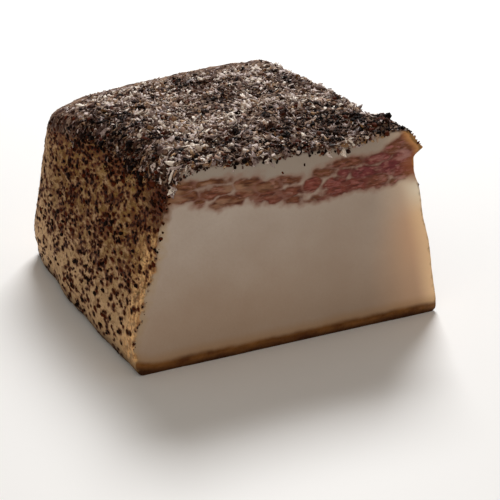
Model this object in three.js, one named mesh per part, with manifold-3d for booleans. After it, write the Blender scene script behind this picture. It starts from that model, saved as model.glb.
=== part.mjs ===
// Peppered pork fatback: a block of cured back fat with one streak of lean, cut straight across by a knife.
// The knife cut faces -Y. The other three sides are the slab's own cured outside, dusted with cracked pepper.
// A thick crust of pepper, salt and dried herbs covers the top, and the skin is underneath.
// Millimetres, +Z up, with the origin under the middle of the block, on the surface that it rests on.
import * as THREE from "three";
import { mergeVertices } from "three/addons/utils/BufferGeometryUtils.js";
import Module from "manifold-3d";

// Block: half widths are measured from the middle of the foot
const DEPTH = 121;
const CRUST_HEIGHT = 66.2;
const FOOT_LEFT = 58.2;
const FOOT_RIGHT = 55.5;
const LEFT_BATTER_FRONT = 15.2;
const LEFT_BATTER_BACK = 7.6;
const RIGHT_BATTER_FRONT = 13.6;
const RIGHT_BATTER_BACK = 4.5;
const BATTER_START = 10;
const CUT_AWAY = 20;
const TOP_EDGE_POWER = 13;
const FOOT_EDGE_POWER = 26;
const CORNER_POWER = 12;
const WORN_CORNER_POWER_TOP = 5.1;
const WORN_CORNER_POWER_FOOT = 7.6;
const FOOT_FLAT = 0.985;

// Top: where the crust stands high, sags or bulges over
const SHOULDER_RISE = 2.6;
const SHOULDER_X = 35;
const SHOULDER_REACH = 11;
const BACK_LEFT_SAG = 6.4;
const CROWN = 1.0;
const LIP_OUT = 3.6;
const LIP_Z = 61;
const LIP_DEPTH = 13;
const CRUST_BUMP = 0.75;
const CRUST_BUMP_PITCH = 5.2;
const SIDE_BUMP = 0.45;
const SIDE_BUMP_PITCH = 17;

// Lean streak: its under and upper surfaces are shallow bowls, lowest near the middle
const LEAN_UNDER_Z = 48.0;
const LEAN_UNDER_CURVE = 0.0021;
const LEAN_UNDER_LOW_X = 12;
const LEAN_UPPER_Z = 58.2;
const LEAN_UPPER_CURVE = 0.0021;
const LEAN_UPPER_LOW_X = -5;
const LEAN_UPPER_RISE = 2.2;
const LEAN_WAVE = 0.8;
const LEAN_WAVE_LENGTH = 74;
const SEAM = 0.3;

// Modelling grids, and how far the slab's grid is drawn towards its edges
const SLAB_CELLS = [20, 24, 12];
const GRID_TO_EDGES = 0.6;
const LAYER_CELLS = [36, 12];
const LAYER_SIDE = 320;

// Seasoning: count of rows each way, and how large the pieces are
const TOP_SPREAD = { rows: [9, 14], size: [1.0, 1.5], flatness: 0.6 };
const LEFT_SPREAD = { rows: [11, 4], size: [0.75, 1.05], flatness: 0.55 };
const RIGHT_SPREAD = { rows: [10, 4], size: [0.75, 1.05], flatness: 0.55 };
const BACK_SPREAD = { rows: [9, 4], size: [0.75, 1.05], flatness: 0.55 };
const FRINGE = { pieces: 16, size: [0.8, 1.2], from: -38, to: 40 };
const CHIP_ROUGHNESS = 0.22;
const SEED = 7;

const COLOURS = { fat: 0xe2d3bd, lean: 0x9a4a3c, crust: 0x4a3a31 };

const wasm = await Module();
wasm.setup();

const mix = (a, b, t) => a + (b - a) * t;
const clamp01 = (t) => Math.min(1, Math.max(0, t));
const ease = (from, to, t) => {
  const s = clamp01((t - from) / (to - from));
  return s * s * (3 - 2 * s);
};
const hill = (t, middle, reach) => Math.exp(-(((t - middle) / reach) ** 2));

// A seeded stream of numbers from 0 to 1
function dice(seed) {
  let state = seed >>> 0;
  return () => {
    state = (state + 0x6d2b79f5) >>> 0;
    let t = Math.imul(state ^ (state >>> 15), 1 | state);
    t = (t + Math.imul(t ^ (t >>> 7), 61 | t)) ^ t;
    return ((t ^ (t >>> 14)) >>> 0) / 4294967296;
  };
}

// Smooth noise from -1 to 1, with bumps one pitch apart
function lumps(a, b, pitch) {
  const knot = (i, j) => {
    const s = Math.sin(i * 127.1 + j * 311.7) * 43758.5453;
    return 2 * (s - Math.floor(s)) - 1;
  };
  const [i, j] = [Math.floor(a / pitch), Math.floor(b / pitch)];
  const [s, t] = [ease(0, 1, a / pitch - i), ease(0, 1, b / pitch - j)];
  const near = mix(knot(i, j), knot(i + 1, j), s);
  const far = mix(knot(i, j + 1), knot(i + 1, j + 1), s);
  return mix(near, far, t);
}

// How far the sides stand from the middle at a height and a depth
function leftHalf(y, z) {
  const batter = mix(LEFT_BATTER_FRONT, LEFT_BATTER_BACK, ease(0, DEPTH, y));
  const side = clamp01((z - BATTER_START) / (CRUST_HEIGHT - BATTER_START));
  return FOOT_LEFT - batter * side + SIDE_BUMP * lumps(y, z, SIDE_BUMP_PITCH);
}

function rightHalf(y, z) {
  const batter = mix(RIGHT_BATTER_FRONT, RIGHT_BATTER_BACK, ease(0, DEPTH, y));
  const side = clamp01(z / CRUST_HEIGHT);
  const lip = LIP_OUT * hill(z, LIP_Z, 3.6) * hill(y, 0, LIP_DEPTH);
  return FOOT_RIGHT - batter * side + lip + SIDE_BUMP * lumps(y + 200, z, SIDE_BUMP_PITCH);
}

// How far the whole top sinks towards the back left corner
function sag(x, y) {
  return BACK_LEFT_SAG * ease(10, -48, x) * ease(35, DEPTH, y);
}

// Height of the crust over a point of the plan
function crustTop(x, y) {
  const shoulder = SHOULDER_RISE * hill(x, SHOULDER_X, SHOULDER_REACH) * hill(y, 0, 2.2 * SHOULDER_REACH);
  const crown = CROWN * ease(DEPTH, DEPTH / 2, y) * ease(0, DEPTH / 3, y);
  return CRUST_HEIGHT + shoulder + crown - sag(x, y);
}

// The slab before the cut, as a rounded cube: u, v and w run from -1 to 1 on a cube's faces
function slabPoint(u, v, w) {
  const worn = mix(WORN_CORNER_POWER_FOOT, WORN_CORNER_POWER_TOP, (w + 1) / 2);
  const corner = u < 0 && v > 0 ? worn : CORNER_POWER;
  const edge = w < 0 ? FOOT_EDGE_POWER : TOP_EDGE_POWER;
  const plan = (Math.abs(u) ** corner + Math.abs(v) ** corner) ** (edge / corner);
  const shrink = (plan + Math.abs(w) ** edge) ** (-1 / edge);
  const y = mix(-CUT_AWAY, DEPTH, (v * shrink + 1) / 2);
  const acrossGuess = u * shrink * (u < 0 ? FOOT_LEFT - LEFT_BATTER_FRONT : FOOT_RIGHT - RIGHT_BATTER_FRONT);
  const rise = Math.max(0, (w * shrink + FOOT_FLAT) / (1 + FOOT_FLAT));
  const z = rise * crustTop(acrossGuess, y);
  const x = u * shrink * (u < 0 ? leftHalf(y, z) : rightHalf(y, z));
  const bump = CRUST_BUMP * ease(0.93, 0.99, w * shrink) * lumps(x, y, CRUST_BUMP_PITCH);
  return new THREE.Vector3(x, y, z + bump);
}

// Under and upper surfaces of the lean streak
function leanWave(x, y) {
  return LEAN_WAVE * Math.sin((2 * Math.PI * y) / LEAN_WAVE_LENGTH) * Math.cos(x / LEAN_WAVE_LENGTH);
}

function leanUnder(x, y) {
  const bowl = LEAN_UNDER_CURVE * (x - LEAN_UNDER_LOW_X) ** 2;
  return LEAN_UNDER_Z + bowl + leanWave(x, y) - sag(x, y);
}

function leanUpper(x, y) {
  const bowl = LEAN_UPPER_CURVE * (x - LEAN_UPPER_LOW_X) ** 2;
  const rise = LEAN_UPPER_RISE * ease(18, 42, x) * ease(30, 0, y);
  return LEAN_UPPER_Z + bowl + rise + leanWave(x, y) - sag(x, y);
}

// A closed three.js geometry as a solid that can be joined and cut
function solidOf(geometry) {
  const bare = geometry.clone();
  bare.deleteAttribute("normal");
  bare.deleteAttribute("uv");
  const merged = mergeVertices(bare, 1e-4);
  const vertProperties = new Float32Array(merged.attributes.position.array);
  const triVerts = new Uint32Array(merged.index.array);
  return new wasm.Manifold(new wasm.Mesh({ numProp: 3, vertProperties, triVerts }));
}

function geometryOf(solid) {
  const { vertProperties, triVerts } = solid.getMesh();
  const geometry = new THREE.BufferGeometry();
  geometry.setAttribute("position", new THREE.BufferAttribute(vertProperties, 3));
  geometry.setIndex(new THREE.BufferAttribute(triVerts, 1));
  geometry.computeVertexNormals();
  return geometry;
}

// A box geometry whose every vertex is moved by a rule
function moulded(box, place) {
  const at = box.attributes.position;
  for (let i = 0; i < at.count; i++) {
    const p = place(at.getX(i), at.getY(i), at.getZ(i));
    at.setXYZ(i, p.x, p.y, p.z);
  }
  return solidOf(box);
}

// The whole slab, less what the knife took off its front
function cutBlock() {
  const drawn = (t) => mix(t, Math.sin((Math.PI / 2) * t), GRID_TO_EDGES);
  const place = (x, y, z) => slabPoint(drawn(x), drawn(y), drawn(z));
  const slab = moulded(new THREE.BoxGeometry(2, 2, 2, ...SLAB_CELLS), place);
  const offcut = new THREE.BoxGeometry(LAYER_SIDE, LAYER_SIDE, LAYER_SIDE);
  offcut.translate(0, -LAYER_SIDE / 2, 0);
  return slab.subtract(solidOf(offcut));
}

// Everything under a surface of height over the plan
function below(surface) {
  const sheet = new THREE.BoxGeometry(LAYER_SIDE, LAYER_SIDE, 2, ...LAYER_CELLS, 1);
  return moulded(sheet, (x, y, z) => new THREE.Vector3(x, y, z < 0 ? -LAYER_SIDE : surface(x, y)));
}

// One angular piece of seasoning, of unit size, with its corners knocked about
function chip(random) {
  const geometry = new THREE.IcosahedronGeometry(1, 0);
  geometry.deleteAttribute("normal");
  geometry.deleteAttribute("uv");
  const piece = mergeVertices(geometry, 1e-4);
  const at = piece.attributes.position;
  for (let i = 0; i < at.count; i++) {
    const by = 1 + CHIP_ROUGHNESS * (2 * random() - 1);
    at.setXYZ(i, by * at.getX(i), by * at.getY(i), by * at.getZ(i));
  }
  return piece;
}

// A piece set into a surface: flat side down, turned at random and partly sunk
function setInto(geometry, place, out, stretch, random) {
  const turn = new THREE.Quaternion().setFromUnitVectors(new THREE.Vector3(0, 0, 1), out);
  const spin = new THREE.Quaternion().setFromAxisAngle(out, 2 * Math.PI * random());
  const middle = place.clone().addScaledVector(out, -0.1 * stretch.z);
  const matrix = new THREE.Matrix4().compose(middle, spin.multiply(turn), stretch);
  return { solid: solidOf(geometry.applyMatrix4(matrix)), middle, reach: Math.max(...stretch.toArray()) };
}

// Place and outward direction of a point of one of the slab's faces
const FACES = {
  top: (a, b) => [a, b, 1],
  left: (a, b) => [-1, a, b],
  right: (a, b) => [1, a, b],
  back: (a, b) => [a, 1, b],
};

function onFace(face, a, b) {
  const step = 0.02;
  const here = slabPoint(...FACES[face](a, b));
  const along = slabPoint(...FACES[face](a + step, b)).sub(here);
  const up = slabPoint(...FACES[face](a, b + step)).sub(here);
  const out = along.cross(up).normalize();
  return { here, out: face === "left" || face === "back" ? out.negate() : out };
}

// Pieces spread evenly over a face, one to a cell, each shaken within its cell
function spread(face, { rows, size, flatness }, random) {
  const pieces = [];
  for (let i = 0; i < rows[0]; i++) {
    for (let j = 0; j < rows[1]; j++) {
      const a = ((i + 0.2 + 0.6 * random()) / rows[0]) * 1.88 - 0.94;
      const b = ((j + 0.2 + 0.6 * random()) / rows[1]) * 1.88 - 0.94;
      const { here, out } = onFace(face, a, b);
      const reach = mix(...size, random());
      const stretch = new THREE.Vector3(reach * mix(1, 1.5, random()), reach, reach * flatness);
      pieces.push(setInto(chip(random), here, out, stretch, random));
    }
  }
  return pieces;
}

// The ragged edge of the crust along the top of the cut face
function fringe({ pieces, size, from, to }, random) {
  return Array.from({ length: pieces }, (_, i) => {
    const x = mix(from, to, (i + random()) / pieces);
    const reach = mix(...size, random());
    const place = new THREE.Vector3(x, 0.5 * reach, crustTop(x, 0) - 1.1 * reach);
    const stretch = new THREE.Vector3(1.3 * reach, reach, reach);
    return setInto(chip(random), place, new THREE.Vector3(0, -1, 0), stretch, random);
  });
}

// Joins the seasoning to the layer that it lies on, and leaves out what would bridge two layers
function season(layer, pieces, under, upper) {
  const clear = 2 * SEAM;
  const own = pieces.filter(({ middle, reach }) => {
    const { x, y, z } = middle;
    return z - reach > under(x, y) + clear && z + reach < upper(x, y) - clear;
  });
  return wasm.Manifold.union([layer, ...own.map(({ solid }) => solid)]);
}

function allSeasoning() {
  const random = dice(SEED);
  const pieces = [
    ...spread("top", TOP_SPREAD, random),
    ...spread("left", LEFT_SPREAD, random),
    ...spread("right", RIGHT_SPREAD, random),
    ...spread("back", BACK_SPREAD, random),
  ];
  const behindTheCut = pieces.filter(({ middle, reach }) => middle.y - reach > SEAM);
  const offTheFloor = behindTheCut.filter(({ middle, reach }) => middle.z - reach > SEAM);
  return [...offTheFloor, ...fringe(FRINGE, random)];
}

const seasoning = allSeasoning();
const floor = () => -LAYER_SIDE;
const sky = () => LAYER_SIDE;
const shifted = (surface, by) => (x, y) => surface(x, y) + by;

// One layer of the block, with its own seasoning on it
function layerMesh(name, cut, under, upper, colour) {
  const material = new THREE.MeshStandardMaterial({ color: colour, roughness: 0.6, metalness: 0 });
  const mesh = new THREE.Mesh(geometryOf(season(cut, seasoning, under, upper)), material);
  mesh.name = name;
  return mesh;
}

const block = cutBlock();
const backFat = block.intersect(below(shifted(leanUnder, -SEAM / 2)));
const upperFat = block.subtract(below(shifted(leanUpper, SEAM / 2)));
const lean = block
  .intersect(below(shifted(leanUpper, -SEAM / 2)))
  .subtract(below(shifted(leanUnder, SEAM / 2)));

const fatback = new THREE.Group();
fatback.add(layerMesh("back_fat", backFat, floor, leanUnder, COLOURS.fat));
fatback.add(layerMesh("lean_streak", lean, leanUnder, leanUpper, COLOURS.lean));
fatback.add(layerMesh("peppered_upper_fat", upperFat, leanUpper, sky, COLOURS.crust));

// The origin goes under the middle of the block
const bounds = new THREE.Box3().setFromObject(fatback, true);
const middle = bounds.getCenter(new THREE.Vector3());
fatback.position.set(-middle.x, -middle.y, -bounds.min.z);

export default fatback;
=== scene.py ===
from itertools import combinations
import math

import bpy
import numpy as np
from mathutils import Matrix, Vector
from mathutils.kdtree import KDTree


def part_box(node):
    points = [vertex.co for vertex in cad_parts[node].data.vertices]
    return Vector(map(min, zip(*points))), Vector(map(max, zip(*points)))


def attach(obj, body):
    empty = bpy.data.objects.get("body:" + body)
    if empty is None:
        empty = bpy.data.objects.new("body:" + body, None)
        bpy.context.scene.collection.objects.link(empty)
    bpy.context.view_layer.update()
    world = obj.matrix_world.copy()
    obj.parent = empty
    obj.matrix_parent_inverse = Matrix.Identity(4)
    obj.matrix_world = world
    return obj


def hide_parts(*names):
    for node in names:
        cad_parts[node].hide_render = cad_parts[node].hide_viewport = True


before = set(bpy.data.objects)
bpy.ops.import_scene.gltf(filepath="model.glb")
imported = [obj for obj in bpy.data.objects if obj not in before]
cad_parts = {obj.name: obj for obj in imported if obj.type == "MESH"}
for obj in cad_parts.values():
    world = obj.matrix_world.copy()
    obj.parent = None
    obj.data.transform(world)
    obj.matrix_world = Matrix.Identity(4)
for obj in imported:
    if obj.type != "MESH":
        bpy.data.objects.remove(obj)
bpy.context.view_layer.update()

# Places and sizes of the block are in millimetres: x from the middle of the foot, y from the knife cut, z up.
MM = 0.001

# Where that x and that y start in the frame, in metres
FOOT_MIDDLE = 0.0018
CUT_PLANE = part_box("back_fat")[0][1]

# All that is strewn comes from this seed
SEED = 20

# The block's outside, as its solids have it
DEPTH = 121
CRUST_HEIGHT = 66.2
FOOT_LEFT = 58.2
FOOT_RIGHT = 55.5
LEFT_BATTER = (15.2, 7.6)
RIGHT_BATTER = (13.6, 4.5)
BATTER_START = 10
CUT_AWAY = 20
TOP_EDGE_POWER = 13
FOOT_EDGE_POWER = 26
CORNER_POWER = 12
WORN_CORNER_POWER = (7.6, 5.1)
FOOT_FLAT = 0.985
SHOULDER_RISE = 2.6
SHOULDER_X = 35
SHOULDER_REACH = 11
BACK_LEFT_SAG = 6.4
CROWN = 1.0
LIP_OUT = 3.6
LIP_Z = 61
LIP_HEIGHT = 3.6
LIP_DEPTH = 13
CRUST_BUMP = 0.75
CRUST_BUMP_PITCH = 5.2
SIDE_BUMP = 0.45
SIDE_BUMP_PITCH = 17

# The solids' own noise: how fast its lattice turns along each axis, and how far the turns are spread
TURN_X = 127.1
TURN_Y = 311.7
TURN_Z = 74.7
TURN_SPREAD = 43758.5453

# The lean streak's under and upper surfaces
LEAN_UNDER_Z = 48.0
LEAN_UNDER_LOW_X = 12
LEAN_UPPER_Z = 58.2
LEAN_UPPER_LOW_X = -5
LEAN_CURVE = 0.0021
LEAN_UPPER_RISE = 2.2
LEAN_WAVE = 0.8
LEAN_WAVE_LENGTH = 74

# Mesh rows and columns
ACROSS = 300
DEEP = 190
FAT_ROWS = 84
LEAN_ROWS = 40
UPPER_ROWS = 16
THIN_UPPER_FAT = 0.98
FOOT_RINGS = (0.992, 0.975, 0.955)
CREASE_DEGREES = 50

# How far into the cut face the relief of the sides and of the crust carries on, and how the knife's marks run
SIDE_CARRY = 2.0
CRUST_CARRY = 1.5
KNIFE_MARK_STRETCH = (0.3, 1, 1)

# What the materials read where there is no muscle near, and on the lean's outer side
NO_MUSCLE = -6.0
NO_SEAM = 3.0
SIDE_REDNESS = 0.3

# What the materials read at each point, and the values on the underside, where the rind is
UNDERSIDE = {
    "under_crust": CRUST_HEIGHT, "stain": 0, "bare": 0, "from_edge": -DEPTH / 2,
    "muscle": NO_MUSCLE, "redness": 0, "seam": NO_SEAM,
}

# Muscle bundles where the knife crossed them: x, z, half length, half height, tilt in degrees, redness
BUNDLES = [
    (-40.5, 59.4, 3.4, 1.5, 4, 0.05),
    (-32.5, 59.7, 6.2, 0.8, 2, 0.05),
    (-40.3, 56.2, 4.4, 1.5, -6, 0.2),
    (-30, 56.3, 5, 1.7, 6, 0.35),
    (-35.4, 53.8, 2.3, 1, -8, 0.15),
    (-25.2, 53.2, 5.6, 1.5, 4, 0.25),
    (-20, 57.4, 4, 1.4, -2, 0.1),
    (-19.6, 54.4, 5.4, 1.6, 6, 0.35),
    (-12.6, 55.7, 5.2, 1.7, -3, 0.2),
    (-10.4, 51.7, 5.6, 1.6, -5, 0.55),
    (-12.9, 53.3, 4.2, 1.3, 4, 0.45),
    (-5.2, 56.5, 4.3, 1.2, 2, 0.2),
    (-3.9, 52.6, 4.8, 1.5, 3, 0.45),
    (-2.6, 49.9, 3.2, 1.2, 0, 0.3),
    (4, 54, 3.3, 2.3, 8, 0.65),
    (8, 57.1, 3.7, 1.4, 0, 0.15),
    (7.6, 49.2, 4.9, 0.7, 3, 0.2),
    (12.2, 53.1, 3.9, 1.8, 8, 0.7),
    (13.3, 50.5, 5.2, 1.7, 5, 0.6),
    (16.1, 56, 3, 1.3, 0, 0.9),
    (17.2, 59.3, 6, 1.4, 3, 0.3),
    (23.6, 55.6, 5.6, 1.9, 1, 0.95),
    (21.4, 51.8, 5.4, 1.9, 4, 0.65),
    (27.9, 59.3, 4.8, 1.6, 1, 0.85),
    (27.2, 51.7, 4.6, 2, 1, 0.45),
    (32.4, 56.1, 5, 1.9, 6, 1),
    (35.2, 62.3, 4.6, 2, 30, 0.35),
    (38, 65, 2.6, 1.3, 25, 0.4),
    (38.4, 58.8, 4.6, 2.4, 8, 0.75),
    (37.9, 51.7, 4.5, 1, 17, 0.1),
    (37.6, 54.3, 5, 1.9, 12, 0.7),
    (40.2, 61.8, 2.2, 2.6, 40, 0.25),
]
BUNDLE_SHAPE = 2.3
BUNDLE_SPREAD = 1.14

# Where the crust is pale with husk and salt, and where it is black with pepper: x, y, reach
PALE_PATCHES = [
    (-29, 86, 6), (-28, 61, 5), (-25, 46, 6), (-20, 40, 5), (-32, 95, 5), (-35, 20, 4),
    (-30, 15, 4), (-7, 38, 7), (5, 53, 7), (14, 53, 4), (26, 58, 3), (31, 49, 5), (-6, 17, 5), (-14, 104, 5),
    (-19, 35, 4), (38, 19, 3), (-14, 72, 8), (25, 72, 4), (-25, 28, 3), (-19, 27, 5), (39, 31, 4),
]
BLACK_PATCHES = [
    (-34, 62, 4), (-50, 48, 6), (-50, 31, 6), (-34, 46, 3), (-41, 20, 4), (12, 62, 5), (-45, 83, 5),
    (-16, 13, 3), (11, 85, 5), (27, 21, 7), (32, 17, 7), (18, 23, 6), (-8, -1, 5), (3, 0, 5), (47, 28, 4),
    (37, 5, 5), (43, 87, 5), (-42, 70, 4), (-4, 86, 6), (1, 14, 4), (-40, 29, 4), (-50, 62, 5),
    (15, 8, 4), (30, 1, 4), (-39, 54, 4),
]

# Where clumps of the crust have run down the left side: y, z, reach
SPILLS = [(77, 54, 3.5), (46, 54, 3), (33, 60, 4.5), (22, 59, 3), (45, 60, 4), (12, 59, 3), (96, 52, 3.5)]

# Crumbs that have fallen onto the cut fat: x, y, z
FALLEN_CRUMBS = [(1.1, 0, 60.9), (-6.7, 0, 59.4)]

# The pressed pepper specks: how many to a square millimetre of the sides and of the cut's left edge, their
# sizes, how drawn out they are on the sides and how small on the cut, and how far their stain reaches
SIDE_SPECK_DENSITY = 0.26
EDGE_SPECK_DENSITY = 0.45
SPECK_SIZES = (0.2, 0.92)
SIDE_SPECK_LONG = 1.8
EDGE_SPECK_SMALL = 0.75
STAIN_REACH = (0.2, 0.9)

# The whole peppercorn at the right edge of the crust: x, y, radius, and the share of that it is lifted by
PEPPERCORN = (40.3, 13.2, 1.35)
PEPPERCORN_LIFT = 0.7

# Long husks that hang over the left corner of the cut: x, y, z, half length, half width, turn in degrees,
# tone and warmth. Those with y above 0 lie on the left side, the others on the cut.
CORNER_HUSKS = [
    (-44.1, 2.5, 62.7, 2.9, 1.2, 76, 1, 0.826), (-42.5, 0, 66.2, 1.7, 0.6, 18, 0.6, 0),
    (-44.2, 0, 60.2, 1.2, 0.35, -48, 0.7, 0), (-42.4, 0, 63.4, 1.6, 0.45, 62, 0, 0),
    (-43.3, 5.2, 64.2, 1.4, 0.8, 60, 0.7, 0), (-43.1, 0, 64.8, 1.3, 0.5, 60, 0.5, 1),
]
HUSK_THICKNESS = 0.5
HUSK_STANDS_OFF = 0.6
LEFT_WALL_FACES = (-0.965, 0, 0.261)

# The stains of the cured sides are drawn out along the block
SPECK_STRETCH = (1, 0.52, 1)

# Where the camera stood, and its lens
VIEW_AZIMUTH = -26.6
VIEW_ELEVATION = 21.6
VIEW_DISTANCE = 455
VIEW_AIM = (12, 60, 9)
LENS_MM = 87.7
SENSOR_MM = 36

# The studio's soft lights, as name, place, side, power and colour, the glow all round, and the floor
LIGHTS = [
    ("key", (560, 980, 1240), 560, 25, (1, 1, 1)),
    ("fill", (-420, -420, 380), 500, 0.8, (1, 0.88, 0.74)),
]
LIGHTS_AIM = (0, 60, 30)
GLOW_COLOUR = (1, 0.94, 0.86, 1)
GLOW_STRENGTH = 0.26
FLOOR_HALF_METRES = 4.0
FLOOR_COLOUR = (0.9, 0.9, 0.9, 1)
FLOOR_ROUGHNESS = 0.6


def mix(a, b, t):
    return a + (b - a) * t


def ease(start, end, t):
    s = np.clip((t - start) / (end - start), 0, 1)
    return s * s * (3 - 2 * s)


def hill(t, middle, reach):
    return np.exp(-(((t - middle) / reach) ** 2))


def lumps(a, b, pitch):
    """Smooth noise from -1 to 1, the same as the solids' own"""
    def knot(i, j):
        s = np.sin(i * TURN_X + j * TURN_Y) * TURN_SPREAD
        return 2 * (s - np.floor(s)) - 1

    i, j = np.floor(a / pitch), np.floor(b / pitch)
    s, t = ease(0, 1, a / pitch - i), ease(0, 1, b / pitch - j)
    near = mix(knot(i, j), knot(i + 1, j), s)
    far = mix(knot(i, j + 1), knot(i + 1, j + 1), s)
    return mix(near, far, t)


def crags(points, pitch, pattern):
    """Smooth noise from -1 to 1 all through space, bumps one pitch apart, each number another pattern"""
    cell = np.floor(points / pitch)
    s = ease(0, 1, points / pitch - cell)
    total = 0
    for corner in np.ndindex(2, 2, 2):
        at = cell + corner
        turn = at[..., 0] * TURN_X + at[..., 1] * TURN_Y + at[..., 2] * TURN_Z + pattern
        value = np.sin(turn) * TURN_SPREAD
        weight = np.prod(np.where(corner, s, 1 - s), axis=-1)
        total = total + weight * (2 * (value - np.floor(value)) - 1)
    return total


def sag(x, y):
    return BACK_LEFT_SAG * ease(10, -48, x) * ease(35, DEPTH, y)


def crust_top(x, y):
    shoulder = SHOULDER_RISE * hill(x, SHOULDER_X, SHOULDER_REACH) * hill(y, 0, 2.2 * SHOULDER_REACH)
    crown = CROWN * ease(DEPTH, DEPTH / 2, y) * ease(0, DEPTH / 3, y)
    return CRUST_HEIGHT + shoulder + crown - sag(x, y)


def half_width(u, y, z):
    """How far the left or right side stands from the middle"""
    left = FOOT_LEFT - mix(*LEFT_BATTER, ease(0, DEPTH, y)) * np.clip(
        (z - BATTER_START) / (CRUST_HEIGHT - BATTER_START), 0, 1
    )
    right = FOOT_RIGHT - mix(*RIGHT_BATTER, ease(0, DEPTH, y)) * np.clip(z / CRUST_HEIGHT, 0, 1)
    lip = LIP_OUT * hill(z, LIP_Z, LIP_HEIGHT) * hill(y, 0, LIP_DEPTH)
    left_bump = SIDE_BUMP * lumps(y, z, SIDE_BUMP_PITCH)
    right_bump = SIDE_BUMP * lumps(y + 200, z, SIDE_BUMP_PITCH)
    return np.where(u < 0, left + left_bump, right + lip + right_bump)


def shrink(u, v, w):
    worn = mix(*WORN_CORNER_POWER, (w + 1) / 2)
    corner = np.where((u < 0) & (v > 0), worn, CORNER_POWER)
    edge = np.where(w < 0, FOOT_EDGE_POWER, TOP_EDGE_POWER)
    plan = (np.abs(u) ** corner + np.abs(v) ** corner) ** (edge / corner)
    return (plan + np.abs(w) ** edge) ** (-1 / edge)


def slab_point(u, v, w):
    """A point of the slab's outside: u, v and w run from -1 to 1 on a cube's faces"""
    s = shrink(u, v, w)
    y = mix(-CUT_AWAY, DEPTH, (v * s + 1) / 2)
    across = u * s * np.where(u < 0, FOOT_LEFT - LEFT_BATTER[0], FOOT_RIGHT - RIGHT_BATTER[0])
    z = np.maximum(0, (w * s + FOOT_FLAT) / (1 + FOOT_FLAT)) * crust_top(across, y)
    x = u * s * half_width(u, y, z)
    bump = CRUST_BUMP * ease(0.93, 0.99, w * s) * lumps(x, y, CRUST_BUMP_PITCH)
    return np.stack([x, y, z + bump], axis=-1)


def knife_v(u, w):
    """Where the knife crossed the slab"""
    at_cut = 2 * CUT_AWAY / (CUT_AWAY + DEPTH) - 1
    v = np.full(np.broadcast(u, w).shape, at_cut)
    for _ in range(25):
        v = at_cut / shrink(u, v, w)
    return v


def outside_point(u, share, w):
    """A point of the outside, share being 0 at the knife cut and 1 at the back"""
    u, share, w = np.broadcast_arrays(np.asarray(u, float), share, w)
    point = slab_point(u, mix(knife_v(u, w), 1, share), w)
    point[..., 1] = np.where(share == 0, 0, point[..., 1])
    return point


def cut_point(across, w):
    """A point of the cut face, across being 0 at its left edge and 1 at its right edge"""
    u, rise = 2 * across - 1, (w + 1) / 2
    a, r = across[..., None], rise[..., None]
    left, right = outside_point(-1, 0, w), outside_point(1, 0, w)
    top, foot = outside_point(u, 0, 1), outside_point(u, 0, -1)
    corners = (1 - a) * ((1 - r) * outside_point(-1, 0, -1) + r * outside_point(-1, 0, 1))
    corners = corners + a * ((1 - r) * outside_point(1, 0, -1) + r * outside_point(1, 0, 1))
    return (1 - a) * left + a * right + (1 - r) * foot + r * top - corners


def lean_wave(x, y):
    return LEAN_WAVE * np.sin(2 * np.pi * y / LEAN_WAVE_LENGTH) * np.cos(x / LEAN_WAVE_LENGTH)


def lean_under(x, y):
    return LEAN_UNDER_Z + LEAN_CURVE * (x - LEAN_UNDER_LOW_X) ** 2 + lean_wave(x, y) - sag(x, y)


def lean_upper(x, y):
    rise = LEAN_UPPER_RISE * ease(18, 42, x) * ease(30, 0, y)
    return LEAN_UPPER_Z + LEAN_CURVE * (x - LEAN_UPPER_LOW_X) ** 2 + rise + lean_wave(x, y) - sag(x, y)


def level_of(point_at, surface, columns):
    """The height parameter at which each column of a wall meets a surface"""
    low, high = np.full(columns, -1.0), np.full(columns, 1.0)
    for _ in range(30):
        middle = (low + high) / 2
        p = point_at(middle)
        above = p[..., 2] > surface(p[..., 0], p[..., 1])
        low, high = np.where(above, low, middle), np.where(above, middle, high)
    return (low + high) / 2


def wall_rows(point_at, columns):
    """Rows of a wall from the foot to the rim, one of them on each surface of the lean streak"""
    under = level_of(point_at, lean_under, columns)
    upper = np.minimum(level_of(point_at, lean_upper, columns), THIN_UPPER_FAT)
    foot, rim = np.full(columns, -1.0), np.full(columns, 1.0)
    spans = [(foot, under, FAT_ROWS), (under, upper, LEAN_ROWS), (upper, rim, UPPER_ROWS)]
    levels = [mix(low, high, k / rows) for low, high, rows in spans for k in range(rows)]
    return np.array([point_at(w) for w in [*levels, rim]])


def outward(grid):
    """Unit normals of a grid of points"""
    along, up = np.gradient(grid, axis=1), np.gradient(grid, axis=0)
    normal = np.cross(along, up)
    return normal / np.maximum(np.linalg.norm(normal, axis=-1, keepdims=True), 1e-9)


def relief(points):
    """How far the cured outside or the crust stands proud of its plain form"""
    x, y, z = np.moveaxis(points, -1, 0)
    crusted = ease(9, 3, crust_top(x, y) - z)
    side = 0.22 * crags(points, 8, 0) + 0.16 * crags(points, 3.4, 1) + 0.08 * crags(points, 1.5, 2)
    crust = (0.7 * crags(points, 4.3, 3) + 0.4 * crags(points, 2.1, 4)) * (1 - 0.6 * bare(points))
    # At the cut's right edge the crust hooks out over a notch and a hollow in the lean
    hook = 0.7 * ease(64, 67, z) - 1.2 * ease(25, 40, z) - 1.2 * hill(z, 53, 4.5) - 2.0 * hill(z, 57.6, 1.5)
    # The foot of the left side is tucked in near the back
    tucked = 1.3 * ease(-40, -50, x) * ease(66, 82, y) * ease(118, 106, y) * ease(14, 4, z)
    return mix(side, crust, crusted) + hook * ease(20, 36, x) * hill(y, 0, LIP_DEPTH) - tucked


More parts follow.
